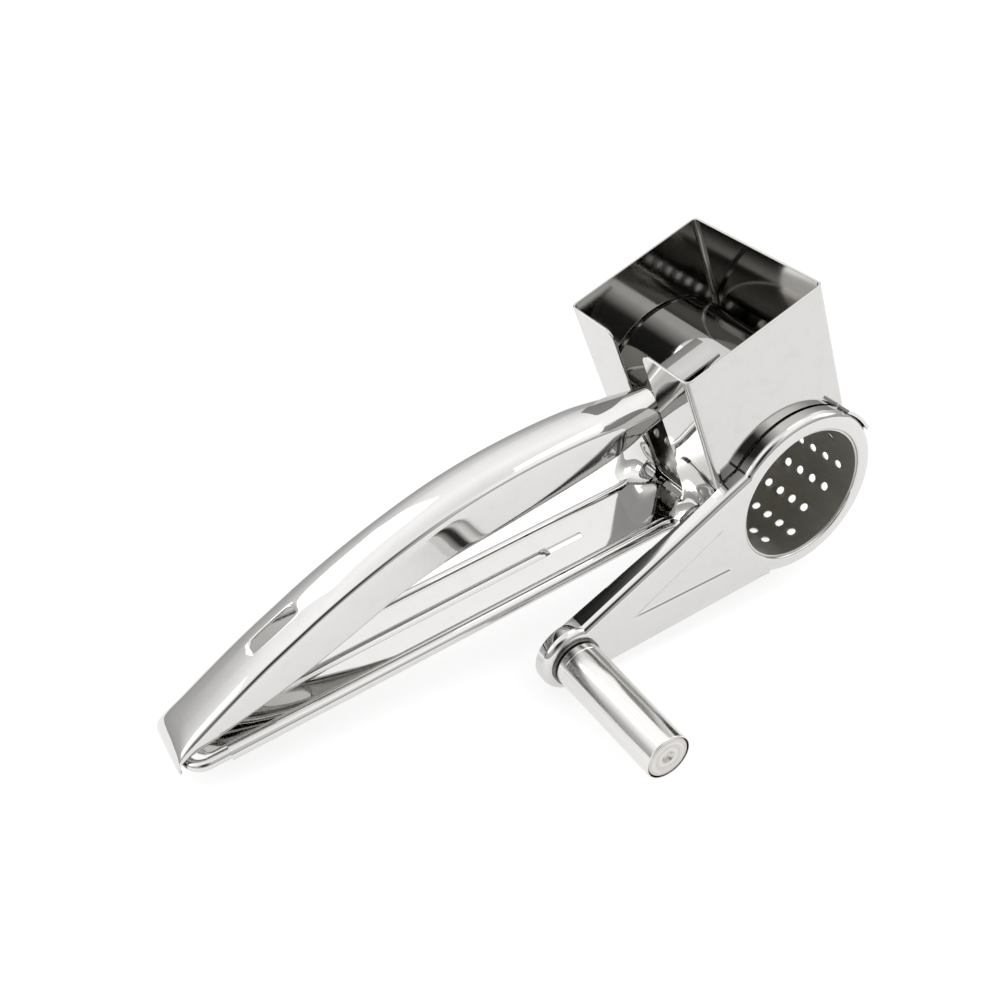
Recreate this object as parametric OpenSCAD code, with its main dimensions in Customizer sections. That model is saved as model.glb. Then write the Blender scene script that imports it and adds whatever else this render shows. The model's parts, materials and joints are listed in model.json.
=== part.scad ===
// Rotary cheese grater: a square hopper over a perforated drum, turned by a ring crank,
// on a squeeze handle whose upper arm presses the cheese onto the drum.
// +X points to the head, +Y away from the crank, +Z up. The origin is the middle of the
// outline on the surface that the grater's lowest point touches.

/* [Layout] */
// Lean of the hopper towards the tail
hop_tilt = 20; // [18:0.5:22]
// Slope of the lower handle, falling towards the tail
grip_tilt = 5.7; // [5:0.1:6.4]
// Direction of the crank arm at rest, from +X towards +Z
crank_angle = 196.5; // [195:0.5:198]
// Distance from the hopper's middle plane to the crank's front face
crank_face = 30; // [30:0.5:32]

/* [Hopper] */
// Outside length of the hopper along the handle
hop_x = 44; // [43.8:0.1:45]
// Outside width of the hopper along the drum
hop_y = 50; // [49:0.5:50]
// Height of the hopper's rim above the drum's axis
hop_top = 56.5; // [50:0.5:64]
// How far the front and rear walls reach below the drum's axis
hop_skirt = 8; // [4:0.5:10]
// Sheet thickness of the hopper
hop_wall = 0.7; // [0.6:0.05:0.8]
// Outside bend radius of the hopper's corners
hop_bend = 2; // [1.5:0.1:3]
// Distance of the hopper's middle ahead of the drum's axis
hop_shift = 0.6; // [0.4:0.1:0.8]
// Width of the slot for the press arm
slot_w = 12.5; // [11.5:0.5:15]
// Height of the slot's floor above the drum's axis
slot_z = 3; // [2:0.5:6]

/* [Drum] */
// Outside radius of the perforated drum
drum_r = 20; // [19.5:0.1:20]
// Sheet thickness of the drum
drum_wall = 0.5; // [0.4:0.05:0.6]
// Radius of one grating hole
hole_r = 1.3; // [0.9:0.1:1.3]
// Height of the raised tooth behind each hole
tooth_h = 0.5; // [0.4:0.05:0.5]
// Rows of holes round the drum
hole_rows = 15; // [9:3:15]
// Distance between holes along a row
hole_pitch = 5; // [4.5:0.1:5]
// Holes in one row
holes_per_row = 9; // [5:1:9]

/* [Crank] */
// Outside radius of the crank's ring
ring_r = 25; // [24.8:0.1:26]
// Radius of the ring's mouth
mouth_r = 20; // [19:0.1:20]
// Distance from the drum's axis to the knob's axis
crank_len = 77.9; // [72:0.5:84]
// Depth of the crank's turned-back edge
crank_depth = 4.5; // [4:0.1:4.6]
// Radius of the crank's end behind the knob
crank_end_r = 9.5; // [9:0.1:10.5]
// Radius of the knob at its base
knob_r = 6.6; // [6.4:0.1:7]
// Radius of the knob at its free end
knob_end_r = 6.37; // [5.8:0.01:6.4]
// Length of the knob
knob_len = 37.6; // [32:0.1:44]

/* [Handles] */
// Distance from the drum's axis back to the hinge wire
hinge_x = 172.5; // [168:0.5:178]
// Depth of the hinge wire below the drum's axis
hinge_z = 6; // [5.5:0.1:6.5]
// Radius of the frame wire
wire_r = 1.5; // [1.4:0.05:1.6]
// Radius of the rolled edge round the wire
bead_r = 2.1; // [2:0.05:2.3]
// Half distance between the two rolled edges
bead_y = 10; // [10:0.1:10.5]
// Width of the upper handle
arm_w = 16; // [15:0.5:16]
// Sheet thickness of both handles
sheet_t = 0.8; // [0.7:0.05:0.9]

/* [Hidden] */
$fn = 96;
fit = 0.05;                 // radial running clearance
lap = 0.01;                 // overlap used only inside one solid
cut = 1;                    // how far a cutting shape runs past what it cuts
far = 40;                   // longer than anything that it cuts

// Crank side, measured along Y from the hopper's middle plane
face_y = -crank_face;
plate_y = face_y + sheet_t;                 // back of the crank's face
edge_y = face_y + crank_depth;              // end of the crank's turned-back edge
near_y = -hop_y / 2;                        // outside of the near wall
far_y = hop_y / 2;                          // outside of the far wall
knob_y = face_y - 1;                        // base of the knob
knob_tip_y = knob_y - knob_len;

// Hopper
wall_lo = -hop_x / 2 + hop_shift;           // outside of the rear wall
journal_r = drum_r + tooth_h + 0.4;         // journal band, wide enough to pass the teeth
collar_r = journal_r + fit;
collar_wall = 1.2;
collar_len = 3.6;
flange_t = 0.8;                             // collar's flange against the near wall
side_r = ring_r - 1.2;                      // round lower end of the near wall
slot_round = 2;                             // corner radius of the slot's floor
rim_round = 3;                              // corner radius where the slot meets the rim

// Drum
drum_far = far_y - hop_wall - 1.2;          // closed end of the drum
pin_r = 4;
pin_end = far_y + 4;
pin_head = 2;                               // how far the pin's head stands out
groove = 0.9;                               // depth of the clip's groove
groove_y = far_y + 1.7;
clip_t = 0.8;
row_step = 360 / hole_rows;
first_hole = -22.9;
stagger = 3;                                // rows until the pattern repeats

// Lower handle, in the frame that lies along it
lean = hop_tilt - grip_tilt;                // hopper's lean against the handle
plane_z = 1 - hinge_z;                      // middle of the sheet
sheet_top = plane_z + sheet_t / 2;
sheet_end = 9.5 - hinge_x;                  // tail end of the sheet
saddle_r = 12;                              // bend from the sheet up the rear wall
saddle_y = 12;                              // half width of the bend
flare_r = 10;                               // flare of the edges into the hopper
flare_x = -34;
rib = [-150, -66];                          // from tail to head
rib_w = 3.2;
rib_h = 1.3;
vent = [-64, -53];                          // slot ahead of the rib
vent_w = 2.2;
bend_r = 4.5;                               // bend of the wire at its corners
wire_in = 54.5;                             // length of wire in each rolled edge

// Upper handle and press arm. The crown line and the lower edge of the flanges are side
// views, from the tail to the head and back.
reach = hinge_x / 172.5;
crown = [for (p = [[-175.6, -4.5], [-163, 4.2], [-152, 9.6], [-133.5, 17.8], [-122, 22.2],
    [-108, 26.6], [-97, 29.5], [-87, 31.4], [-77, 32.6], [-66, 32.9], [-55, 32.6],
    [-41, 31.3], [-31, 30]]) [p[0] * reach, p[1]]];
hem = [for (p = [[-32, 27.6], [-37, 25.4], [-46, 21.8], [-60, 20.2], [-75, 18.2],
    [-99, 16.4], [-108, 14.2], [-122, 9.2], [-134.7, 5.2], [-140, 3], [-155, -0.6],
    [-168, -2.8], [-172, -3.8], [-174.7, -3.8], [-174.8, -7.4], [-175.6, -7.4]])
    [p[0] * reach, p[1]]];
hang = [-145.6, -138.4];                    // centres of the hanging hole's round ends
hang_r = 2.2;
curl_t = 0.5;
curl_y = 4.6;                               // half length of the curl
tongue = [[-43, 43.5], [-32.3, 39.5], [-23, 35.8], [-20, 36], [-16.5, 38.2], [-14, 38.9]];
tongue_w = 10;
tongue_t = 1;
push_mid = hop_shift + 0.6;                 // middle of the pusher
push_r = 23.5;                              // outside radius of its arch
push_z = tongue[5][1] - tongue_t;           // crown of the arch, under the tongue
push_x = 18.8;                              // half length of the pusher
push_gap = 0.9;                             // gap to the near and far walls

// Crank's arm: half width at its narrow end, which starts at a distance from the axis
neck = 7;
neck_x = 66;
taper = 0.24;
axle_r = 2.5;

// Place in the outline
tail_x = crown[0][0] * cos(grip_tilt) - crown[0][1] * sin(grip_tilt);
lift = crank_end_r - crank_len * sin(crank_angle);
shift_x = -(ring_r + tail_x) / 2;
shift_y = -(pin_end + knob_tip_y) / 2;

// ---------- frames ----------
module on_axis(tilt) translate([shift_x, shift_y, lift]) rotate([0, -tilt, 0]) children();
module head() on_axis(hop_tilt) children();
module grip() on_axis(grip_tilt) children();
module crank() on_axis(crank_angle) children();
module at_knob() crank() translate([crank_len, 0, 0]) children();

// Plate drawn in X and Z, between two distances along Y
module plate(y0, y1) translate([0, y1, 0]) rotate([90, 0, 0]) linear_extrude(y1 - y0) children();
// Disc and ring about the Y axis
module disc(r, y0, y1) translate([0, y0, 0]) rotate([-90, 0, 0]) cylinder(r = r, h = y1 - y0);
module ring(r0, r1, y0, y1) difference() {
    disc(r1, y0, y1);
    disc(r0, y0 - cut, y1 + cut);
}
// Rod along the X axis
module rod(r, x0, x1) translate([x0, 0, 0]) rotate([0, 90, 0]) cylinder(r = r, h = x1 - x0);
module both_sides() for (s = [0, 1]) mirror([0, s, 0]) children();
module rounded(x, y, r) {
    square([x - 2 * r, y], center = true);
    square([x, y - 2 * r], center = true);
    for (sx = [-1, 1], sy = [-1, 1]) translate([sx * (x / 2 - r), sy * (y / 2 - r)]) circle(r);
}
function drop(p, d) = [for (q = p) [q[0], q[1] - d]];
function back(p) = [for (i = [len(p) - 1:-1:0]) p[i]];

// ---------- hopper ----------
module box_tube(z0, z1) translate([hop_shift, 0, z0]) linear_extrude(z1 - z0) difference() {
    rounded(hop_x, hop_y, hop_bend);
    rounded(hop_x - 2 * hop_wall, hop_y - 2 * hop_wall, hop_bend - hop_wall);
}
module hopper() color("gainsboro") head() difference() {
    union() {
        box_tube(-hop_skirt, hop_top);
        disc(side_r, near_y, near_y + hop_wall);
        translate([hop_shift, 0, 0]) disc(hop_x / 2, far_y - hop_wall, far_y);
    }
    disc(collar_r, near_y - cut, near_y + hop_wall + cut);
    disc(pin_r + pin_head, far_y - hop_wall - cut, far_y + cut);
    // slot for the press arm, with round corners at its floor
    translate([wall_lo - cut, 0, 0]) {
        translate([0, -slot_w / 2, slot_z + slot_round]) cube([hop_wall + 2 * cut, slot_w, hop_top]);
        translate([0, slot_round - slot_w / 2, slot_z])
            cube([hop_wall + 2 * cut, slot_w - 2 * slot_round, slot_round + cut]);
        both_sides() {
            translate([0, slot_w / 2 - slot_round, slot_z + slot_round])
                rod(slot_round, 0, hop_wall + 2 * cut);
            // rounded off at the rim
            translate([0, slot_w / 2 + rim_round, hop_top - rim_round]) difference() {
                translate([0, -rim_round - cut, 0])
                    cube([hop_wall + 2 * cut, rim_round + cut, rim_round + cut]);
                rod(rim_round, -cut, hop_wall + 3 * cut);
            }
        }
    }
}
module drum_collar() color("silver") head() {
    ring(collar_r, collar_r + collar_wall, near_y - collar_len, near_y - flange_t + lap);
    ring(collar_r, side_r - 0.2, near_y - flange_t, near_y);
}
module far_bush() color("silver") head() {
    ring(pin_r + fit, pin_r + pin_head, far_y - hop_wall - 0.3, far_y + lap);
    ring(pin_r + fit, pin_r + 4.5, far_y, far_y + 0.9);
}

// ---------- lower handle ----------
// Distance along the handle to the outside of the hopper's rear wall, at a height
function wall_reach(z) = (wall_lo - z * sin(lean)) / cos(lean);

module sheet_plan() {
    end = wall_reach(sheet_top);
    translate([sheet_end, -bead_y]) square([end - sheet_end, 2 * bead_y]);
    for (s = [0, 1]) mirror([0, s]) {
        translate([flare_x, bead_y + flare_r]) difference() {
            translate([-lap, -flare_r]) square([flare_r + lap, flare_r]);
            circle(flare_r);
        }
        translate([flare_x + flare_r - lap, 0])
            square([end - flare_x - flare_r + lap, bead_y + flare_r]);
    }
}
// Path of a rolled edge: straight from a start, then flared
module edge_rod(r, start) translate([0, bead_y, -hinge_z]) {
    rod(r, start, flare_x);
    translate([flare_x, flare_r, 0]) rotate([0, 0, -90]) rotate_extrude(angle = 90)
        translate([flare_r, 0]) circle(r);
}
module lower_handle() color("gainsboro") grip() {
    difference() {
        translate([0, 0, sheet_top - sheet_t]) linear_extrude(sheet_t) sheet_plan();
        translate([vent[0], -vent_w / 2, plane_z - cut]) cube([vent[1] - vent[0], vent_w, 2 * cut]);
        both_sides() edge_rod(bead_r, sheet_end - cut);
    }
    translate([rib[0], -rib_w / 2, plane_z]) cube([rib[1] - rib[0], rib_w, rib_h]);
}
module rolled_edge(side) color("silver") grip() mirror([0, side, 0]) difference() {
    edge_rod(bead_r, sheet_end);
    translate([0, bead_y, -hinge_z]) rod(wire_r, sheet_end - cut, sheet_end + wire_in + cut);
}
module rolled_edge_near() rolled_edge(1);
module rolled_edge_far() rolled_edge(0);
// Concave bend from the sheet's top face up the hopper's rear wall, clear of the rolled edges
module rear_saddle() color("lightgray") grip() difference() {
    run = saddle_r / tan((90 - lean) / 2);
    big = 3 * saddle_r;
    translate([wall_reach(sheet_top) - run, 0, sheet_top + saddle_r]) intersection() {
        ring(saddle_r - sheet_t, saddle_r, -saddle_y, saddle_y);
        plate(-saddle_y - cut, saddle_y + cut)
            polygon([[0, 0], [0, -big], [big, -big], big * [cos(lean), sin(lean)]]);
    }
    both_sides() edge_rod(bead_r + fit, sheet_end);
}
// Wire in the rolled edges, bent round the tail as the hinge pin
module frame_wire() color("silver") grip() translate([0, 0, -hinge_z]) {
    leg_x = bend_r - hinge_x;
    pin_y = bead_y - bend_r;
    both_sides() {
        translate([0, bead_y, 0]) rod(wire_r, leg_x, sheet_end + wire_in);
        translate([leg_x, pin_y, 0]) rotate([0, 0, 90]) rotate_extrude(angle = 90)
            translate([bend_r, 0]) circle(wire_r);
    }
    translate([-hinge_x, 0, 0]) disc(wire_r, -pin_y - lap, pin_y + lap);
}

// ---------- upper handle and press arm ----------
module upper_handle() color("gainsboro") grip() difference() {
    inside = drop(crown, sheet_t);
    flap_x = hem[len(hem) - 2][0];
    plate(-arm_w / 2, arm_w / 2) polygon(concat(crown, hem));
    // hollow of the channel, open below and towards the head
    plate(sheet_t - arm_w / 2, arm_w / 2 - sheet_t) polygon(concat(
        [[flap_x, crown[0][1] - sheet_t + 0.42]], [for (i = [1:len(inside) - 1]) inside[i]],
        [[-20, 29], [-20, -20], [flap_x, -20]]));
    // hanging hole
    for (x = hang) translate([x, 0, 0]) cylinder(r = hang_r, h = far);
    translate([hang[0], -hang_r, 0]) cube([hang[1] - hang[0], 2 * hang_r, far]);
}
module hinge_curl() color("silver") grip() translate([-hinge_x, 0, -hinge_z]) difference() {
    ring(wire_r + fit, wire_r + fit + curl_t, -curl_y, curl_y);
    // open towards the lower handle
    translate([0.9, -curl_y - cut, -4]) cube([4, 2 * (curl_y + cut), 8]);
}
module press_tongue() color("gainsboro") head() {
    top = concat(tongue, [[push_mid, tongue[5][1]]]);
    plate(-tongue_w / 2, tongue_w / 2) polygon(concat(top, back(drop(top, tongue_t))));
}
module pusher_plate() color("gainsboro") head() {
    half = hop_y / 2 - hop_wall - push_gap;
    translate([push_mid, 0, push_z - push_r]) intersection() {
        ring(push_r - sheet_t, push_r, -half, half);
        translate([-push_x, -half - cut, 0]) cube([2 * push_x, 2 * (half + cut), push_r + cut]);
    }
}

// ---------- drum ----------
module each_hole() for (i = [0:hole_rows - 1], j = [0:holes_per_row - 1])
    rotate([0, i * row_step, 0])
        translate([0, first_hole + (j + (i + 2) % stagger / stagger) * hole_pitch, 0]) children();
module grating_drum() color("darkgray") head() difference() {
    ring(drum_r - drum_wall, drum_r, plate_y, drum_far);
    each_hole() translate([drum_r - 3, 0, 0]) rotate([0, 90, 0]) cylinder(r = hole_r, h = 6, $fn = 16);
}
module journal_band() color("silver") head() ring(drum_r, journal_r, plate_y, near_y + 0.1);
module drum_end_cap() color("silver") head()
    ring(pin_r, drum_r - drum_wall, drum_far - sheet_t, drum_far);
module pivot_pin() color("silver") head() {
    difference() {
        disc(pin_r, drum_far - sheet_t - lap, pin_end);
        ring(pin_r - groove, pin_r + cut, groove_y, groove_y + clip_t);
    }
    disc(pin_r + pin_head, drum_far - sheet_t - 1, drum_far - sheet_t);
}
module thrust_washer() color("silver") head() ring(pin_r, pin_r + 3.2, drum_far, drum_far + 0.6);
module pivot_clip() color("gray") head() difference() {
    ring(pin_r - groove, pin_r + 2.2, groove_y, groove_y + clip_t);
    translate([-1.6, far_y, -8]) cube([3.2, 4, 8]);
}

// ---------- crank ----------
// Half width of the arm at a distance along it, less an inset
function waist(s, e) = neck + taper * (neck_x - s) - e;
module crank_block(y0, y1, e) {
    disc(ring_r - e, y0, y1);
    translate([crank_len, 0, 0]) disc(crank_end_r - e, y0, y1);
    plate(y0, y1) polygon([[10, waist(10, e)], [neck_x, waist(neck_x, e)],
        [neck_x + 10, waist(neck_x, e)], [neck_x + 10, -waist(neck_x, e)],
        [neck_x, -waist(neck_x, e)], [10, -waist(10, e)]]);
}
module crank_plate() color("gainsboro") crank() difference() {
    crank_block(face_y, edge_y, 0);
    crank_block(plate_y, edge_y + cut, sheet_t);
    disc(mouth_r, face_y - cut, plate_y + cut);
    translate([crank_len, 0, 0]) disc(axle_r, face_y - cut, plate_y + cut);
}
module drum_clip() color("silver") head() intersection() {
    ring(ring_r, ring_r + 0.9, face_y + 0.3, edge_y - 0.4);
    plate(face_y, edge_y) polygon([[0, 0], for (a = [12, 26, 40]) far * [cos(a), sin(a)]]);
}
module knob_axle() color("silver") at_knob() {
    disc(axle_r, knob_tip_y + 3, plate_y + lap);
    disc(axle_r + 2, plate_y, plate_y + 1);
}
module axle_clip() color("gray") at_knob() ring(axle_r, 4.4, knob_tip_y + 4, knob_tip_y + 5);
module knob_washer() color("dimgray") at_knob() ring(axle_r, knob_r + 0.5, face_y - 0.7, face_y);

// ---------- knob ----------
knob_bore = knob_end_r - 0.8;
module knob_sleeve() color("gainsboro") at_knob() translate([0, knob_y, 0])
    rotate([90, 0, 0]) difference() {
        cylinder(r1 = knob_r, r2 = knob_end_r, h = knob_len);
        translate([0, 0, -cut]) cylinder(r = knob_bore, h = knob_len + 2 * cut);
    }
module knob_bushes() color("white") at_knob()
    for (y = [knob_y - 5, knob_tip_y + 6]) ring(axle_r + fit, knob_bore, y, y + 5);
module knob_end_cap() color("silver") at_knob() disc(knob_bore, knob_tip_y, knob_tip_y + 1.6);

hopper();
drum_collar();
far_bush();
lower_handle();
rolled_edge_near();
rolled_edge_far();
rear_saddle();
frame_wire();
upper_handle();
hinge_curl();
press_tongue();
pusher_plate();
grating_drum();
journal_band();
drum_end_cap();
pivot_pin();
thrust_washer();
pivot_clip();
crank_plate();
drum_clip();
knob_axle();
axle_clip();
knob_washer();
knob_sleeve();
knob_bushes();
knob_end_cap();
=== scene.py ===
import json
import math

import bpy
from mathutils import Matrix, Vector


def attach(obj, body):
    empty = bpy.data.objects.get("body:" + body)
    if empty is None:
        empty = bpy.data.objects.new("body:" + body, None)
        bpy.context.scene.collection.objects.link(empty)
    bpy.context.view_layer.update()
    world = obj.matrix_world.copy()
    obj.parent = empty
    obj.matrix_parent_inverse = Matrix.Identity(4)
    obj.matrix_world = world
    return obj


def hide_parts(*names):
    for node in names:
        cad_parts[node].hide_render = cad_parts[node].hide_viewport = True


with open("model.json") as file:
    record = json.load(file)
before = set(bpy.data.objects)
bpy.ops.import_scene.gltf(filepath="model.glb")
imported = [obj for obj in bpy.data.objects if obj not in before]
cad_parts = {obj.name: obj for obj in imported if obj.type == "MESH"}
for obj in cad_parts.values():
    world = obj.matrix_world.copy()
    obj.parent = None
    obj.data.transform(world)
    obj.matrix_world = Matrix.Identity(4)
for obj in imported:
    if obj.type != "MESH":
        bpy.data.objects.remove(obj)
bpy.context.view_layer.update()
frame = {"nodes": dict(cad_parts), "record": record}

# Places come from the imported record: the joints give the axes, the mounts give the tilts.
joints = {j["name"]: j for j in frame["record"]["behaviour"]["joints"]}
mounts = {m["name"]: m for m in frame["record"]["mounts"]}
drumAxis = Vector(joints["crank_turn"]["pos_m"])
hingeAxis = Vector(joints["press_hinge"]["pos_m"])
knobAxis = Vector(joints["knob_spin"]["pos_m"])
frontNormal = mounts["hopper_front_face"]["axis"]
holeNormal = mounts["hanging_hole"]["axis"]
hopperTilt = math.atan2(frontNormal[2], frontNormal[0])
gripTilt = math.atan2(-holeNormal[0], holeNormal[2])
crankTilt = math.atan2(knobAxis.z - drumAxis.z, knobAxis.x - drumAxis.x)
mm = 0.001


def tiltedFrame(tilt):
    # millimetres along a tilted X, from the drum's axis in the grater's middle plane
    middle = Matrix.Translation((drumAxis.x, hingeAxis.y, drumAxis.z))
    return middle @ Matrix.Rotation(-tilt, 4, "Y") @ Matrix.Scale(mm, 4)


hopperFrame = tiltedFrame(hopperTilt)
gripFrame = tiltedFrame(gripTilt)
crankFrame = tiltedFrame(crankTilt)


def extent(node, place):
    # lowest and highest corner of a node's mesh, in one of the frames above
    back = place.inverted()
    points = [back @ v.co for v in frame["nodes"][node].data.vertices]
    lo = Vector([min(p[i] for p in points) for i in range(3)])
    hi = Vector([max(p[i] for p in points) for i in range(3)])
    return lo, hi


# small modelling helpers
def only(piece):
    bpy.ops.object.select_all(action="DESELECT")
    piece.select_set(True)
    bpy.context.view_layer.objects.active = piece


def fresh(name):
    piece = bpy.context.view_layer.objects.active
    piece.name = name
    piece.data.name = name
    return piece


def pick(piece, kind, test):
    # selects vertices, edges or faces by a test on their middle and normal
    mesh = piece.data
    for group in (mesh.vertices, mesh.edges, mesh.polygons):
        group.foreach_set("select", [False] * len(group))
    if kind == "VERT":
        for v in mesh.vertices:
            v.select = test(v.co, v.normal)
    elif kind == "EDGE":
        for e in mesh.edges:
            a, b = (mesh.vertices[i].co for i in e.vertices)
            e.select = test((a + b) / 2, b - a)
    else:
        for f in mesh.polygons:
            f.select = test(f.center, f.normal)


def edit(piece, kind, test, *steps):
    # one visit to edit mode: select by place, then run the steps
    only(piece)
    pick(piece, kind, test)
    bpy.ops.object.mode_set(mode="EDIT")
    bpy.ops.mesh.select_mode(type=kind)
    for step in steps:
        step()
    bpy.ops.object.mode_set(mode="OBJECT")


def everything(*_):
    return True


def modify(piece, kind, **values):
    only(piece)
    modifier = piece.modifiers.new(kind.title(), kind)
    for key, value in values.items():
        setattr(modifier, key, value)
    bpy.ops.object.modifier_apply(modifier=modifier.name)


def close(a, b, reach=0.01):
    return abs(a - b) < reach


def carve(piece, tool, operation="DIFFERENCE"):
    modify(piece, "BOOLEAN", operation=operation, object=tool, solver="EXACT")
    bpy.data.objects.remove(tool)


def settle(piece, place, smooth=30):
    # puts a finished piece in its place, and smooths what is rounder than the angle
    only(piece)
    piece.data.transform(piece.matrix_world)
    piece.matrix_world = Matrix.Identity(4)
    piece.data.transform(place)
    bpy.ops.object.shade_smooth_by_angle(angle=math.radians(smooth))
    modify(piece, "WEIGHTED_NORMAL", mode="FACE_AREA", weight=100, keep_sharp=True)
    return piece


def outwards():
    bpy.ops.mesh.normals_make_consistent(inside=False)


def drumRod(radius, low, high, x=0, sides=96):
    # a rod along Y, between two places
    bpy.ops.object.select_all(action="DESELECT")
    bpy.ops.mesh.primitive_cylinder_add(
        vertices=sides, radius=radius, depth=high - low, location=(x, (low + high) / 2, 0),
        rotation=(math.pi / 2, 0, 0))
    rod = bpy.context.view_layer.objects.active
    bpy.ops.object.transform_apply(location=True, rotation=True, scale=True)
    return rod


def grid(name, columns, rows, point):
    # a sheet of columns x rows points, each placed by a rule
    bpy.ops.object.select_all(action="DESELECT")
    bpy.ops.mesh.primitive_grid_add(
        x_subdivisions=columns - 1, y_subdivisions=rows - 1, size=2)
    piece = fresh(name)
    for v in piece.data.vertices:
        i = round((v.co.x + 1) / 2 * (columns - 1))
        j = round((v.co.y + 1) / 2 * (rows - 1))
        v.co = point(i, j)
    return piece


def easedCopy(node, name, place, edge, segments=3, angle=30):
    # a copy of a node's own mesh with its sharp edges eased
    source = frame["nodes"][node]
    piece = bpy.data.objects.new(name, source.data.copy())
    piece.data.name = name
    bpy.context.collection.objects.link(piece)
    piece.data.transform(place.inverted())
    edit(
        piece, "VERT", everything,
        lambda: bpy.ops.mesh.remove_doubles(threshold=0.0005),
        lambda: bpy.ops.mesh.dissolve_limited(angle_limit=math.radians(0.4)),
    )
    modify(
        piece, "BEVEL", width=edge, segments=segments, limit_method="ANGLE",
        angle_limit=math.radians(angle), use_clamp_overlap=False)
    return settle(piece, place)


# materials
class Value:
    # a socket that takes part in Python arithmetic
    def __init__(self, shader, socket):
        self.shader = shader
        self.socket = socket

    def maths(self, operation, *others):
        return self.shader.node("ShaderNodeMath", {"operation": operation}, *others)

    def __add__(self, other):
        return self.maths("ADD", self, other)

    def __radd__(self, other):
        return self.maths("ADD", other, self)

    def __sub__(self, other):
        return self.maths("SUBTRACT", self, other)

    def __rsub__(self, other):
        return self.maths("SUBTRACT", other, self)

    def __mul__(self, other):
        return self.maths("MULTIPLY", self, other)

    def __rmul__(self, other):
        return self.maths("MULTIPLY", other, self)

    def __pow__(self, other):
        return self.maths("POWER", self, other)

    def smooth(self, low, high):
        settings = {"interpolation_type": "SMOOTHSTEP"}
        return self.shader.node("ShaderNodeMapRange", settings, self, low, high, 0.0, 1.0)


class Shader:
    def __init__(self, owner):
        owner.use_nodes = True
        self.owner = owner
        self.tree = owner.node_tree

    def node(self, kind, settings, *values, out=0, **named):
        made = self.tree.nodes.new(kind)
        for key, value in settings.items():
            setattr(made, key, value)
        wanted = list(zip(made.inputs, values))
        wanted += [(made.inputs[key], value) for key, value in named.items()]
        for socket, value in wanted:
            if isinstance(value, Value):
                self.tree.links.new(value.socket, socket)
            else:
                socket.default_value = value
        return Value(self, made.outputs[out])

    def here(self):
        return self.node("ShaderNodeTexCoord", {}, out="Object")

    def turned(self, place):
        # Object coordinates in millimetres, in one of the tilted frames
        back = place.inverted()
        return self.node(
            "ShaderNodeMapping", {}, self.here(), Location=back.to_translation(),
            Rotation=back.to_euler(), Scale=(1 / mm,) * 3)

    def parts(self, at):
        split = self.node("ShaderNodeSeparateXYZ", {}, at).socket.node
        return [Value(self, output) for output in split.outputs]

    def noise(self, at, scale, detail=2.0, rough=0.5, stretch=(1, 1, 1)):
        spread = self.node("ShaderNodeMapping", {}, at, Scale=stretch)
        return self.node(
            "ShaderNodeTexNoise", {}, spread, Scale=scale, Detail=detail, Roughness=rough)

    def bump(self, height, strength, distance=0.1 * mm):
        return self.node(
            "ShaderNodeBump", {}, Height=height, Strength=strength, Distance=distance)

    def colours(self, amount, first, second):
        mixed = self.node("ShaderNodeMix", {"data_type": "RGBA"}, amount, out=2).socket.node
        mixed.inputs[6].default_value = (*first, 1)
        mixed.inputs[7].default_value = (*second, 1)
        return Value(self, mixed.outputs[2])

    def finish(self, **values):
        surface = self.tree.nodes["Principled BSDF"]
        for key, value in values.items():
            socket = surface.inputs[key.replace("_", " ")]
            if isinstance(value, Value):
                self.tree.links.new(value.socket, socket)
            else:
                socket.default_value = value
        return self.owner


def newMaterial(name):
    return Shader(bpy.data.materials.new(name))


steel = {
    "bright": (0.66, 0.652, 0.64),
    "worn": (0.61, 0.602, 0.59),
    # a darker tone for the haze marks, and painted shade on the hopper's inner faces
    "hazeAndPaintedShade": (0.47, 0.46, 0.44),
    "ripple": 0.010,  # how far the pressed sheet wavers
    "gloss": 0.045,
}


def polishedSteel(name, gloss=steel["gloss"], ripple=steel["ripple"], tone=1.0, inside=None):
    # pressed and buffed sheet: soft waves, a faint haze and hairline polishing marks
    s = newMaterial(name)
    at = s.here()
    waves = s.noise(at, 60, 1.0)
    haze = s.noise(at, 220, 4.0, 0.6)
    hairs = s.noise(at, 900, 3.0, 0.7, (1, 0.06, 1))
    wiped = haze.smooth(0.45, 0.75)
    marks = hairs.smooth(0.52, 0.72)
    bright = tuple(c * tone for c in steel["bright"])
    worn = tuple(c * tone for c in steel["worn"])
    amount = wiped * 0.35 + marks * 0.2
    rough = gloss + wiped * 0.012 + marks * 0.02
    if inside:
        # painted shade: the hopper's inner faces are darkened, where shade falls inside it
        x, y, _ = s.parts(s.turned(hopperFrame))
        low, high, half = inside
        paintedShadeInside = y.maths("LESS_THAN", y.maths("ABSOLUTE", y), half)
        paintedShadeInside = paintedShadeInside * x.maths("GREATER_THAN", x, low) * x.maths("LESS_THAN", x, high)
        bright = worn
        worn = steel["hazeAndPaintedShade"]
        amount = amount * 0.5 * (1 - paintedShadeInside) + paintedShadeInside
        rough = rough + paintedShadeInside * 0.03
    return s.finish(
        Metallic=1.0,
        Base_Color=s.colours(amount, bright, worn),
        Roughness=rough,
        Normal=s.bump(waves * 8 + hairs * 0.15, ripple),
    )


def drawnSteel(name, place, gloss, grain, tones, cast=(1, 0.985, 0.96)):
    # brushed along one direction
    s = newMaterial(name)
    at = s.turned(place)
    lines = s.noise(at, 3.2, 6.0, 0.75, grain)
    fine = s.noise(at, 12, 4.0, 0.7, grain)
    level = lines * 0.6 + fine * 0.4
    dark, light = (tuple(c * tone for c in cast) for tone in tones)
    return s.finish(
        Metallic=1.0,
        Base_Color=s.colours(level.smooth(0.35, 0.65), dark, light),
        Roughness=gloss + level.smooth(0.4, 0.7) * 0.08,
        Normal=s.bump(level, 0.12, 0.05 * mm),
    )


turning = {
    "fine": 0.45,  # millimetres from ring to ring
    "broad": 1.9,
    "dark": (0.42, 0.40, 0.38),
    "light": (0.82, 0.80, 0.77),
}


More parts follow.
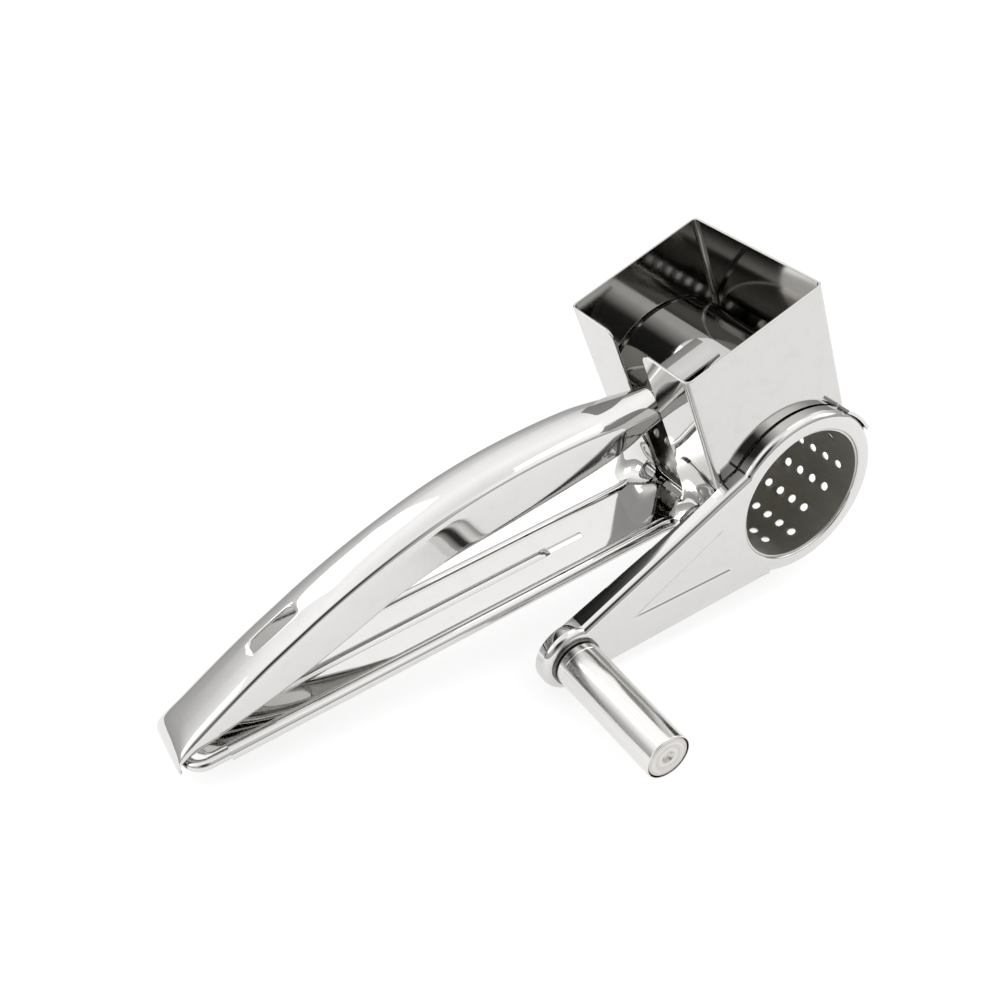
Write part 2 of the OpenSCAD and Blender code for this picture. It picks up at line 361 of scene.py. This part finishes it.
def turnedSteel(name):
    # faced on a lathe: fine rings round the knob's axis
    s = newMaterial(name)
    at = s.here()
    x, _, z = s.parts(at)
    x = x - knobAxis.x
    z = z - knobAxis.z
    radius = (x * x + z * z) ** 0.5
    rings = radius.maths("SINE", radius * (2 * math.pi / (turning["fine"] * mm)))
    broad = radius.maths("SINE", radius * (2 * math.pi / (turning["broad"] * mm)))
    scuff = s.noise(at, 500, 4.0)
    level = rings * 0.3 + broad * 0.2 + 0.5
    return s.finish(
        Metallic=1.0,
        Base_Color=s.colours(level * 0.7 + scuff * 0.3, turning["dark"], turning["light"]),
        Roughness=0.24 + scuff * 0.16,
        Normal=s.bump(rings, 0.2, 0.04 * mm),
    )


def darkSteel(name):
    s = newMaterial(name)
    mottle = s.noise(s.here(), 400, 5.0, 0.6)
    return s.finish(
        Metallic=1.0,
        Base_Color=s.colours(mottle.smooth(0.3, 0.7), (0.10, 0.10, 0.10), (0.22, 0.21, 0.20)),
        Roughness=0.22 + mottle * 0.2,
        Normal=s.bump(mottle, 0.1),
    )


def nylonBush(name):
    s = newMaterial(name)
    cloud = s.noise(s.here(), 300, 4.0)
    return s.finish(
        Base_Color=s.colours(cloud, (0.72, 0.71, 0.66), (0.82, 0.81, 0.77)),
        Roughness=0.5 + cloud * 0.1,
        Normal=s.bump(cloud, 0.1),
    )


def dress(piece, material):
    piece.data.materials.clear()
    piece.data.materials.append(material)


sheetSteel = polishedSteel("polishedSheet")
hopperInside = (-21.05, 22.2, 24.65)  # its rear, its front and its half width
# the hopper's sheet, with painted shade on its inner faces
wallSteel = polishedSteel("hopperSheet", 0.06, 0.004, 1.0, hopperInside)
# a copy of the polished sheet darkened to 0.7 of its tone: painted shade on the pusher and the press
# tongue
shadedSheetSteel = polishedSteel("pusherSheetPaintedShade", 0.05, 0.012, 0.7)
wireSteel = polishedSteel("brightWire", 0.05, 0.004)
drumSteel = drawnSteel("drumSheet", hopperFrame, 0.34, (1, 0.06, 1), (0.56, 0.70), (1, 0.98, 0.92))
turnedBearing = drawnSteel("turnedBearing", hopperFrame, 0.2, (1, 0.3, 1), (0.45, 0.6))
knobSteel = drawnSteel("satinKnob", crankFrame, 0.11, (1, 0.02, 1), (0.68, 0.76), (1, 0.985, 0.965))
capSteel = turnedSteel("turnedCap")
springSteel = darkSteel("springSteel")
nylon = nylonBush("naturalNylon")
print("materials made")


# hopper
hopper = easedCopy("hopper", "hopperShell", hopperFrame, 0.16)
dress(hopper, wallSteel)
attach(hopper, "body")
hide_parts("hopper")
print("hopper made")


# upper handle: an arched channel with a domed crown
upperHandle = {
    "sheet": 0.8,
    # along the handle: height of the shoulder, depth of the flange, lean of the section,
    # half width, and how far the crown domes over the shoulder
    "stations": [
        (-175.5, -7.3, 0.8, 90, 8.2, 0), (-175.6, -6.2, 0.8, 90, 8.2, 0),
        (-175.5, -4.9, 0.9, 80, 8.2, 0.1), (-175.0, -3.6, 1.2, 60, 8.2, 0.2),
        (-174.0, -2.2, 1.8, 35, 8.1, 0.3), (-171.6, -0.4, 3.0, 12, 8.0, 0.5),
        (-168.0, 1.5, 4.5, 3, 8.0, 0.7), (-163, 4.2, 6.2, 0, 8.0, 0.8),
        (-156, 7.8, 8.4, 0, 8.0, 0.9), (-150.2, 10.6, 9.8, 0, 8.0, 1.0),
        (-148.4, 11.4, 10.2, 0, 8.0, 1.0), (-147.2, 12.0, 10.5, 0, 8.0, 1.0),
        (-136.8, 16.4, 12.0, 0, 8.0, 1.0), (-135.6, 16.9, 12.1, 0, 8.0, 1.0),
        (-133.8, 17.7, 12.2, 0, 8.0, 1.0), (-128, 20.0, 12.7, 0, 8.0, 1.0),
        (-122, 22.2, 12.9, 0, 8.0, 1.0), (-115, 24.5, 12.6, 0, 8.0, 1.0),
        (-108, 26.6, 12.5, 0, 8.0, 1.0), (-97, 29.5, 13.0, 0, 8.0, 1.0),
        (-87, 31.4, 14.1, 0, 8.0, 1.0), (-77, 32.6, 14.4, 0, 8.0, 1.0),
        (-66, 33.2, 13.7, 0, 8.0, 1.1), (-55, 33.2, 12.4, 0, 8.0, 1.3),
        (-48, 32.8, 10.8, 0, 8.0, 1.5), (-44.4, 32.2, 9.6, 0, 7.9, 1.8),
        (-40, 31.5, 8.2, 0, 7.5, 2.2), (-36, 30.8, 6.4, 0, 6.9, 2.6),
        (-31.5, 30.1, 4.9, 0, 6.2, 3.0), (-28.8, 29.7, 4.3, 0, 5.8, 3.3),
        (-28.4, 29.7, 4.2, 0, 5.7, 3.3),
    ],
    # half of the section, from the middle: across, height as a part of the dome, and drop
    "crown": [(0, 1, 0), (0.14, 0.98, 0), (0.27, 0.93, 0), (0.33, 0.88, 0), (0.55, 0.68, 0.03),
              (0.76, 0.36, 0.16), (0.89, 0.12, 0.42), (0.965, 0.02, 0.95)],
    "flange": [(0.995, 0.2), (1.0, 0.36), (1.0, 0.85), (0.99, 1.0)],
    "hole": (-148.4, -135.6),
    "holeHalf": 2.16,
    "holeCorner": (0.55, 0.72, 0.24),  # drawn in along, narrowed by a factor, and raised
    "shallow": 5,  # a flange less deep than this is drawn in proportion
    "leastDrop": (1.5, 0.25),  # of the flange's first point, and more for each further one
}


def handlePoint(i, j):
    h = upperHandle
    last = len(h["crown"]) + len(h["flange"]) - 1
    side = -1 if j < last else 1
    k = abs(j - last)
    x, z, depth, lean, wide, dome = h["stations"][i]
    fullness = min(1, depth / h["shallow"])
    if k < len(h["crown"]):
        across, part, drop = h["crown"][k]
        drop = drop * fullness - part * dome
    else:
        across, part = h["flange"][k - len(h["crown"])]
        least, more = h["leastDrop"]
        drop = max(part * depth, (least + more * (k - len(h["crown"]))) * fullness)
    tilt = math.radians(lean)
    return Vector((x + drop * math.sin(tilt), side * across * wide, z - drop * math.cos(tilt)))


stationCount = len(upperHandle["stations"])
sectionCount = 2 * (len(upperHandle["crown"]) + len(upperHandle["flange"])) - 1
handle = grid("upperHandleSheet", stationCount, sectionCount, handlePoint)
# hanging hole: the corners of its outline are drawn in, so that the ends come out round
holeFrom, holeTo = upperHandle["hole"]
holeMiddle = (holeFrom + holeTo) / 2
along, narrower, raised = upperHandle["holeCorner"]
edit(
    handle, "FACE",
    lambda c, n: abs(c.y) < upperHandle["holeHalf"] and holeFrom < c.x < holeTo,
    lambda: bpy.ops.mesh.delete(type="FACE"),
)
for v in handle.data.vertices:
    onSide = close(abs(v.co.y), upperHandle["holeHalf"])
    if onSide and (close(v.co.x, holeFrom) or close(v.co.x, holeTo)):
        inwards = 1 if v.co.x < holeMiddle else -1
        v.co.y *= narrower
        v.co.x += along * inwards
        v.co.z += raised * inwards
modify(handle, "SOLIDIFY", thickness=upperHandle["sheet"], offset=-1, use_even_offset=True)
modify(handle, "SUBSURF", levels=2, render_levels=2)
edit(handle, "VERT", everything, outwards)
settle(handle, gripFrame, 60)
dress(handle, sheetSteel)
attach(handle, "press_arm")
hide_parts("upper_handle")
print("upper handle made")


# lower handle: sheet with a pressed rib, a slot and a flare
sheetTop = -4.6
lowerHandle = {
    "sheet": 0.8,
    "columns": [0, 0.7, 1.1, 1.5, 2.1, 3.4, 6.0, 8.3],
    "rows": [-169.8, -169.4, -168.4, -166.5, -163.5, -160, -151.5, -150, -148.5, -130, -110, -90,
             -67.5, -66, -64.5, -64, -62.5, -58, -54.5, -53, -50, -42, -34, -31, -28.5, -26.5,
             -25.2, -24.3, -20.5],
    "plainHalf": 3,  # the columns inside this keep their place where the sheet flares
    "rib": (-150, -66), "ribHeight": 1.2, "ribHalf": 1.5,
    "slot": (-64, -53), "slotHalf": 1.1,
    "tailFrom": -166.4, "tailRound": 3.5,
    "flareFrom": -34, "flareRadius": 10, "flareHalf": 8.3,
}


def flareWidth(x):
    f = lowerHandle
    if x < f["tailFrom"]:
        # rounded off inside the bend of the wire
        return f["flareHalf"] - f["tailRound"] + math.sqrt(
            max(f["tailRound"] ** 2 - (f["tailFrom"] - x) ** 2, 0.3))
    run = min(max(x - f["flareFrom"], 0), f["flareRadius"] - 0.2)
    return f["flareHalf"] + f["flareRadius"] - math.sqrt(f["flareRadius"] ** 2 - run ** 2)


def sheetPoint(i, j):
    f = lowerHandle
    last = len(f["columns"]) - 1
    side = -1 if j < last else 1
    across = f["columns"][abs(j - last)]
    x = f["rows"][i]
    wide = flareWidth(x) / f["flareHalf"]
    ribbed = f["rib"][0] <= x <= f["rib"][1]
    crest = max(0, math.cos(across / f["ribHalf"] * math.pi / 2))
    rise = f["ribHeight"] * crest if across < f["ribHalf"] else 0
    plain = f["plainHalf"]
    y = across
    if across >= plain:
        y = plain + (across - plain) * (flareWidth(x) - plain) / (f["flareHalf"] - plain)
    return Vector((x, side * y, sheetTop + (rise if ribbed and wide == 1 else 0)))


sheet = grid("lowerHandleSheet", len(lowerHandle["rows"]), 2 * len(lowerHandle["columns"]) - 1,
             sheetPoint)
slotFrom, slotTo = lowerHandle["slot"]
edit(
    sheet, "FACE",
    lambda c, n: abs(c.y) < lowerHandle["slotHalf"] and slotFrom < c.x < slotTo,
    lambda: bpy.ops.mesh.delete(type="FACE"),
)
modify(sheet, "SOLIDIFY", thickness=lowerHandle["sheet"], offset=-1)
modify(sheet, "BEVEL", width=0.12, segments=2, limit_method="ANGLE", angle_limit=math.radians(50))
edit(sheet, "VERT", everything, outwards)
settle(sheet, gripFrame, 40)
dress(sheet, sheetSteel)
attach(sheet, "body")
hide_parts("lower_handle")
print("lower handle made")


# saddle: the sheet bends up the hopper's rear wall on both sides of the slot
lean = hopperTilt - gripTilt
saddle = {
    "sheet": 0.5,
    # across, how far the bend reaches back along the sheet, height of its top on the wall
    "ribs": [(6.3, 5.2, 13.5), (7.6, 6.8, 15), (9.4, 9.0, 19.6), (12.2, 11.0, 20.6),
             (15, 10.0, 20.2), (17.6, 7.6, 19.2), (20, 5.2, 17.4), (22, 3.8, 16), (23.8, 3.0, 15.4)],
    "steps": 7,
    "risers": 3,  # rows above the bend
    "leastRise": 0.05,
    "rearWall": -21.4,  # outer face of the hopper's rear wall
    "gap": 0.15,
}
cornerX = (saddle["rearWall"] - saddle["gap"] - sheetTop * math.sin(lean)) / math.cos(lean)


def saddlePoint(i, j):
    across, run, top = saddle["ribs"][i]
    steps = saddle["steps"]
    corner = math.pi / 2 + lean
    bend = run * math.tan((math.pi - corner) / 2)
    centre = Vector((cornerX - run, 0, sheetTop + bend))
    turn = corner * min(j / (steps - 1), 1)
    p = centre + bend * Vector((math.sin(turn), 0, -math.cos(turn)))
    if j >= steps:
        count = j - steps + 1
        rise = max((top - run) * count / saddle["risers"], saddle["leastRise"] * count)
        p += rise * Vector((math.cos(corner), 0, math.sin(corner)))
    return Vector((p.x, -across, p.z))


nearSaddle = grid("nearSaddle", len(saddle["ribs"]), saddle["steps"] + saddle["risers"], saddlePoint)
modify(nearSaddle, "SUBSURF", levels=2, render_levels=2)
modify(nearSaddle, "SOLIDIFY", thickness=saddle["sheet"], offset=1)
edit(nearSaddle, "VERT", everything, outwards)
farSaddle = nearSaddle.copy()
farSaddle.data = nearSaddle.data.copy()
farSaddle.name = farSaddle.data.name = "farSaddle"
bpy.context.collection.objects.link(farSaddle)
farSaddle.data.transform(Matrix.Scale(-1, 4, (0, 1, 0)))
edit(farSaddle, "VERT", everything, outwards)
for piece in (nearSaddle, farSaddle):
    settle(piece, gripFrame, 50)
    dress(piece, sheetSteel)
    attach(piece, "body")
    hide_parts("rear_saddle")
print("saddle made")


# crank: pressed plate with a rounded edge and a sunk panel
crankLow, crankHigh = extent("crank_plate", crankFrame)
crank = {
    "ring": 25.0, "mouth": 20.0, "end": 9.5, "neck": 7.0, "neckAt": 66.0, "taper": 0.24,
    "arm": (10, 76),  # where its block starts and stops
    "shoulder": 2.2, "sheet": 0.8,
    # the sunk panel: its base follows the ring, its sides run to a tip near the knob
    "panelBase": 26.8, "panelTip": 62.5, "panelSide": 0.245,
    # its sloped side: inwards and down
    "panelSteps": [(0, -0.5), (0, 0.0), (0.25, 0.03), (0.6, 0.15), (1.0, 0.39), (1.35, 0.51),
                   (1.6, 0.55)],
}
crankLength = (knobAxis - drumAxis).xz.length / mm
faceY, backY = crankLow.y, crankHigh.y


def armHalf(s):
    return crank["neck"] + crank["taper"] * (crank["neckAt"] - s)


def crankSlab(low, high, inset, shoulder):
    # ring, arm and end as one block drawn in by an inset, with its front edge rounded
    slab = drumRod(crank["ring"] - inset, low, high)
    carve(slab, drumRod(crank["end"] - inset, low, high, crankLength), "UNION")
    bpy.ops.object.select_all(action="DESELECT")
    armFrom, armTo = crank["arm"]
    middle = ((armFrom + armTo) / 2, (low + high) / 2, 0)
    bpy.ops.mesh.primitive_cube_add(size=1, location=middle)
    arm = bpy.context.view_layer.objects.active
    arm.scale = (armTo - armFrom, high - low, 1)
    bpy.ops.object.transform_apply(location=True, scale=True)
    for v in arm.data.vertices:
        v.co.z = math.copysign(armHalf(min(v.co.x, crank["neckAt"])) - inset, v.co.z)
    carve(slab, arm, "UNION")
    edit(
        slab, "VERT", everything,
        lambda: bpy.ops.mesh.remove_doubles(threshold=0.001),
        lambda: bpy.ops.mesh.dissolve_limited(angle_limit=math.radians(0.3)),
    )
    edit(
        slab, "EDGE", lambda c, d: close(c.y, low) and close(d.y, 0),
        lambda: bpy.ops.mesh.bevel(offset=shoulder, segments=7, profile=0.5, clamp_overlap=False),
    )
    return slab


body = crankSlab(faceY, backY, 0, crank["shoulder"])
body.name = body.data.name = "crankShell"
hollow = crankSlab(
    faceY + crank["sheet"], backY + 1, crank["sheet"], crank["shoulder"] - crank["sheet"])
carve(body, hollow)
carve(body, drumRod(crank["mouth"], faceY - 1, faceY + 3))


def panelOutline(inwards):
    # the panel's outline drawn in by a distance, as 12 points in the plane of the arm
    c = crank
    radius = c["panelBase"] + inwards
    tip = c["panelTip"] - (inwards + 0.4) / c["panelSide"]
    slant = 1.03  # a side's length for each unit along
    along = radius
    for _ in range(8):
        half = (c["panelTip"] - along) * c["panelSide"] - inwards * slant
        along = math.sqrt(radius ** 2 - half ** 2)
    base = [(math.sqrt(radius ** 2 - (half * k) ** 2), half * k)
            for k in (-0.94, -0.75, -0.5, -0.25, 0, 0.25, 0.5, 0.75, 0.94)]
    low = [(tip, -0.3), (along + 1.0, -half + 0.26)]
    high = [(along + 1.0, half - 0.26), (tip, 0.3)]
    return low + base + high


# the panel is cut with a block whose side narrows in soft steps
panelCount = len(panelOutline(0))
panelLast = len(crank["panelSteps"]) - 1


def panelPoint(i, j):
    inwards, down = crank["panelSteps"][j]
    along, up = panelOutline(inwards)[i % panelCount]
    return Vector((along, faceY + down, up))


panelTool = grid("panelTool", panelCount + 1, panelLast + 1, panelPoint)
for depth in (crank["panelSteps"][0][1], crank["panelSteps"][panelLast][1]):
    edit(
        panelTool, "VERT", everything,
        lambda: bpy.ops.mesh.remove_doubles(threshold=0.001),
    )
    edit(
        panelTool, "EDGE", lambda c, d: abs(c.y - faceY - depth) < 0.001 and abs(d.y) < 0.001,
        lambda: bpy.ops.mesh.edge_face_add(),
    )
edit(panelTool, "VERT", everything, outwards)
carve(body, panelTool)
edit(
    body, "EDGE",
    lambda c, d: abs(c.y - faceY) < 0.01 and abs(Vector((c.x, c.z)).length - crank["mouth"]) < 0.3,
    lambda: bpy.ops.mesh.bevel(offset=0.7, segments=5, profile=0.5, clamp_overlap=False),
)
edit(body, "VERT", everything, outwards)
settle(body, crankFrame, 35)
dress(body, sheetSteel)
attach(body, "drum_crank")
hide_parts("crank_plate")
print("crank made")


# drum: rows of holes, each with a raised tooth
drum = {
    "rows": 15, "perRow": 9, "pitch": 5.0, "first": -22.9, "hole": 1.4, "dish": 2.1,
    "tooth": 0.38, "sheet": 0.5, "radius": 20.0,
    "holeLift": 0.06, "dishLift": 0.03,
}
drumLow, drumHigh = extent("grating_drum", hopperFrame)
stepAngle = 2 * math.pi / drum["rows"]
tileArc = stepAngle * drum["radius"]


def drumTile():
    # one hole with its dished rim and tooth, modelled flat: X round the drum, Y along it
    bpy.ops.object.select_all(action="DESELECT")
    bpy.ops.mesh.primitive_grid_add(x_subdivisions=6, y_subdivisions=4, size=1)
    tile = fresh("drumTile")
    for v in tile.data.vertices:
        v.co = Vector((v.co.x * tileArc, v.co.y * drum["pitch"], 0))
    reach = tileArc / 6 * 1.01
    edit(
        tile, "FACE", lambda c, n: abs(c.x) < reach and abs(c.y) < drum["pitch"] / 4 * 1.01,
        lambda: bpy.ops.transform.tosphere(value=1),
        lambda: bpy.ops.mesh.inset(thickness=drum["dish"] - drum["hole"]),
        lambda: bpy.ops.mesh.delete(type="FACE"),
    )
    for v in tile.data.vertices:
        r = math.hypot(v.co.x, v.co.y)
        if r < 3.0 and abs(v.co.y) < drum["pitch"] / 2 - 0.1:
            ring = drum["hole"] if r < 1.65 else drum["dish"]
            turn = math.atan2(v.co.y, v.co.x)
            lift = (0.5 + 0.5 * math.cos(turn)) ** 1.5
            height = drum["dishLift"]
            if ring == drum["hole"]:
                height = drum["tooth"] * lift + drum["holeLift"]
            v.co = Vector((ring * math.cos(turn), ring * math.sin(turn), height))
    return tile


tile = drumTile()
tileVerts = [v.co.copy() for v in tile.data.vertices]
tileFaces = [tuple(f.vertices) for f in tile.data.polygons]
bpy.data.objects.remove(tile)
verts, faces = [], []


def wrap(arc, y, height):
    a = arc / drum["radius"]
    r = drum["radius"] + height
    return Vector((r * math.cos(a), y, -r * math.sin(a)))


def strip(row, low, high):
    # plain sheet at the end of a row
    start = len(verts)
    cuts = 6
    for k in range(cuts + 1):
        arc = (row - 0.5 + k / cuts) * tileArc
        verts.extend([wrap(arc, low, 0), wrap(arc, high, 0)])
    faces.extend((start + 2 * k, start + 2 * k + 2, start + 2 * k + 3, start + 2 * k + 1)
                 for k in range(cuts))


for row in range(drum["rows"]):
    shift = (row + 2) % 3 / 3 * drum["pitch"]
    begin = drum["first"] + shift - drum["pitch"] / 2
    strip(row, drumLow.y, begin)
    for j in range(drum["perRow"]):
        start = len(verts)
        middle = drum["first"] + shift + j * drum["pitch"]
        verts.extend(wrap(row * tileArc + p.x, middle + p.y, p.z) for p in tileVerts)
        faces.extend(tuple(start + k for k in f) for f in tileFaces)
    end = begin + drum["perRow"] * drum["pitch"]
    if end < drumHigh.y:
        strip(row, end, drumHigh.y)
drumMesh = bpy.data.meshes.new("gratingSheet")
drumMesh.from_pydata(verts, [], faces)
drumPiece = bpy.data.objects.new("gratingSheet", drumMesh)
bpy.context.collection.objects.link(drumPiece)
edit(
    drumPiece, "VERT", everything,
    lambda: bpy.ops.mesh.remove_doubles(threshold=0.02),
    outwards,
)
modify(drumPiece, "SUBSURF", levels=1, render_levels=1)
modify(drumPiece, "SOLIDIFY", thickness=drum["sheet"], offset=-1)
edit(drumPiece, "VERT", everything, outwards)
settle(drumPiece, hopperFrame, 50)
dress(drumPiece, drumSteel)
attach(drumPiece, "drum_crank")
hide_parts("grating_drum")
print("drum made")


# knob: turned sleeve with a rolled lip, and a faced cap
knobLow, knobHigh = extent("knob_sleeve", crankFrame)
knob = {
    "base": 6.6, "tip": 6.37, "bore": 6.0,
    # radius and distance from the tip of the cap's outline
    "cap": [(5.72, 0.4), (5.5, 0.14), (4.85, 0.12), (4.6, 0.26), (4.3, 0.26), (4.05, 0.12),
            (1.7, 0.12), (1.4, 0.5), (0.8, 0.9), (0.02, 0.95), (0.02, 1.5), (5.72, 1.5)],
    "groove": [(0, 2.0), (0.14, 2.2), (0.02, 2.4)],  # depth, and distance from the base
}
knobTip, knobBase = knobLow.y, knobHigh.y


def turned(name, outline):
    # spins an outline of radius and Y round the knob's axis
    bpy.ops.object.select_all(action="DESELECT")
    bpy.ops.mesh.primitive_circle_add(vertices=len(outline), fill_type="NOTHING")
    piece = fresh(name)
    for v, (r, y) in zip(piece.data.vertices, outline):
        v.co = Vector((crankLength + r, y, 0))
    edit(
        piece, "VERT", everything,
        lambda: bpy.ops.mesh.spin(
            steps=96, angle=2 * math.pi, center=(crankLength, 0, 0), axis=(0, 1, 0)),
        lambda: bpy.ops.mesh.select_all(action="SELECT"),
        lambda: bpy.ops.mesh.remove_doubles(threshold=0.005),
        outwards,
    )
    return piece


def lip(radius, y, inward, size=0.3, steps=5):
    # quarter round from the outside of a wall to its end face
    return [(radius - size + size * math.cos(a), y + inward * (size - size * math.sin(a)))
            for a in (math.pi / 2 * k / steps for k in range(steps + 1))]


sleeve = turned("knobSleeve", [
    *lip(knob["tip"], knobTip, 1), (knob["bore"], knobTip + 0.02), (knob["bore"], knobBase - 0.02),
    *reversed(lip(knob["base"], knobBase, -1)),
    *((knob["base"] - deep, knobBase - far) for deep, far in knob["groove"]),
])
settle(sleeve, crankFrame)
dress(sleeve, knobSteel)
cap = turned("knobCap", [(r, knobTip + y) for r, y in knob["cap"]])
settle(cap, crankFrame)
dress(cap, capSteel)
for piece, node, slot in ((sleeve, "knob_sleeve", "satin_knob"), (cap, "knob_end_cap", "turned_cap")):
    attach(piece, "knob")
    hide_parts(node)
print("knob made")


# press tongue: an arched strip from the handle, through the slot, to the pusher
tongueHigh = extent("press_tongue", hopperFrame)[1]
pressTongue = {
    "sheet": 0.8,
    "halfWidth": tongueHigh.y,
    # side view of its top, and how far its long edges bend down
    "line": [(-42, 42.9, 1.4), (-38, 41.5, 1.6), (-32.3, 39.4, 1.7), (-27, 37.4, 1.7),
             (-23, 35.9, 1.6), (-21.2, 35.6, 1.4), (-19.6, 36.1, 1.2), (-16.5, 38.0, 0.9),
             (-14.6, 38.7, 0.7), (-12.5, 38.9, 0.5), (-6, 38.9, 0.45), (-3, 38.9, 0.45),
             (0.4, 38.9, 0.45), (1.2, 38.9, 0.45)],
    "across": [-1, -0.96, -0.75, -0.45, -0.15, 0.15, 0.45, 0.75, 0.96, 1],
}


def tonguePoint(i, j):
    x, z, bend = pressTongue["line"][i]
    part = pressTongue["across"][j]
    return Vector((x, part * pressTongue["halfWidth"], z - bend * part ** 2))


tongue = grid("pressTongue", len(pressTongue["line"]), len(pressTongue["across"]), tonguePoint)
modify(tongue, "SUBSURF", levels=2, render_levels=2)
modify(tongue, "SOLIDIFY", thickness=pressTongue["sheet"], offset=-1)
edit(tongue, "VERT", everything, outwards)
settle(tongue, hopperFrame, 50)
dress(tongue, shadedSheetSteel)
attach(tongue, "press_arm")
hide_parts("press_tongue")
print("tongue made")


# pieces whose shape is the node's own, with their edges eased
easedNodes = [
    ("pusher_plate", "pusherPlate", "press_arm", 0.2, shadedSheetSteel, "polished_sheet"),
    ("drum_collar", "drumCollar", "body", 0.12, turnedBearing, "bearing_steel"),
    ("far_bush", "farBush", "body", 0.15, turnedBearing, "bearing_steel"),
    ("knob_washer", "knobWasher", "drum_crank", 0.12, springSteel, "spring_steel"),
    ("pivot_clip", "pivotClip", "drum_crank", 0.1, springSteel, "spring_steel"),
]
for node, name, rides, edge, material, slot in easedNodes:
    piece = easedCopy(node, name, hopperFrame, edge)
    dress(piece, material)
    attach(piece, rides)
    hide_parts(node)

# carried over as they are
carried = {
    "drum_clip": sheetSteel, "rolled_edge_near": sheetSteel, "rolled_edge_far": sheetSteel,
    "frame_wire": wireSteel,
    "hinge_curl": sheetSteel, "journal_band": drumSteel, "drum_end_cap": drumSteel,
    "pivot_pin": turnedBearing, "thrust_washer": turnedBearing, "knob_axle": turnedBearing,
    "axle_clip": springSteel, "knob_bushes": nylon,
}
for node, material in carried.items():
    dress(frame["nodes"][node], material)
print("small pieces made")


# camera, floor and light
camera = {
    "fromDrum": (-201.1, -214.1, 195.7),  # millimetres from the drum's axis in the middle plane
    "view": (0.4005, 0.6962, -0.5957),
    "right": (0.8531, -0.5205, -0.0347),
    "lens": 43.1,
}
middle = Vector((drumAxis.x, hingeAxis.y, drumAxis.z))
bpy.ops.object.select_all(action="DESELECT")
bpy.ops.object.camera_add(location=middle + Vector(camera["fromDrum"]) * mm)
eye = bpy.context.view_layer.objects.active
eye.name = "photoCamera"
viewLine = Vector(camera["view"]).normalized()
rightLine = Vector(camera["right"])
rightLine = (rightLine - viewLine * rightLine.dot(viewLine)).normalized()
upLine = rightLine.cross(viewLine)
turn = Matrix((rightLine, upLine, -viewLine)).transposed().to_4x4()
eye.matrix_world = Matrix.Translation(eye.location) @ turn
eye.data.lens = camera["lens"]
eye.data.sensor_width = 36
eye.data.clip_start = 0.01
bpy.context.scene.camera = eye

studio = {
    "floor": 6.0,
    "glow": 0.70,  # the floor is a light table
    # name, place, size, strength in watts
    "lights": [
        ("backSoftbox", (-0.36, 0.8, 0.74), (0.5, 0.4), 1.1),
        ("leftSoftbox", (-0.85, 0.1, 0.5), (0.4, 0.4), 0.6),
        ("topSoftbox", (0.35, 0.0, 1.05), (0.4, 0.4), 0.5),
        ("rightSoftbox", (0.8, -0.3, 0.5), (0.4, 0.4), 0.5),
    ],
    # height in the room and its brightness
    "room": [(0.0, 0.45), (0.3, 0.6), (0.5, 0.95), (0.66, 1.25), (0.85, 1.4), (1.0, 1.1)],
    # how squarely a direction faces the camera, and how much light is left there
    "viewer": [(0.86, 1.0), (0.94, 0.45), (0.98, 0.03)],
}
bpy.ops.object.select_all(action="DESELECT")
bpy.ops.mesh.primitive_plane_add(size=studio["floor"], location=(0, 0, -0.0004))
floor = fresh("floor")
floorShader = newMaterial("paleFloor")
speckle = floorShader.noise(floorShader.here(), 40, 3.0)
dress(floor, floorShader.finish(
    Base_Color=floorShader.colours(speckle, (0.42, 0.42, 0.42), (0.40, 0.40, 0.40)),
    Roughness=0.8,
    Emission_Color=(1, 1, 1, 1),
    Emission_Strength=studio["glow"],
))

for name, place, size, watts in studio["lights"]:
    bpy.ops.object.select_all(action="DESELECT")
    bpy.ops.object.light_add(type="AREA", location=place)
    lamp = bpy.context.view_layer.objects.active
    lamp.name = name
    lamp.data.shape = "RECTANGLE"
    lamp.data.size, lamp.data.size_y = size
    lamp.data.energy = watts
    lamp.rotation_mode = "QUATERNION"
    lamp.rotation_quaternion = (-Vector(place)).to_track_quat("-Z", "Y")


def greyRamp(shader, value, stops):
    ramp = shader.node("ShaderNodeValToRGB", {}, value).socket.node
    elements = ramp.color_ramp.elements
    while len(elements) < len(stops):
        elements.new(0.5)
    for element, (position, level) in zip(elements, stops):
        element.position = position
        element.color = (level, level, level, 1)
    return Value(shader, ramp.outputs[0])


room = bpy.data.worlds.new("studio")
bpy.context.scene.world = room
sky = Shader(room)
way = sky.node("ShaderNodeTexCoord", {}, out="Generated")
height = sky.parts(way)[2]
facing = sky.node("ShaderNodeVectorMath", {"operation": "DOT_PRODUCT"}, way, -viewLine, out="Value")
level = greyRamp(sky, height, studio["room"]) * greyRamp(sky, facing, studio["viewer"])
sky.tree.links.new(level.socket, sky.tree.nodes["Background"].inputs[0])
bpy.context.scene.view_settings.view_transform = "Standard"
print("studio made")
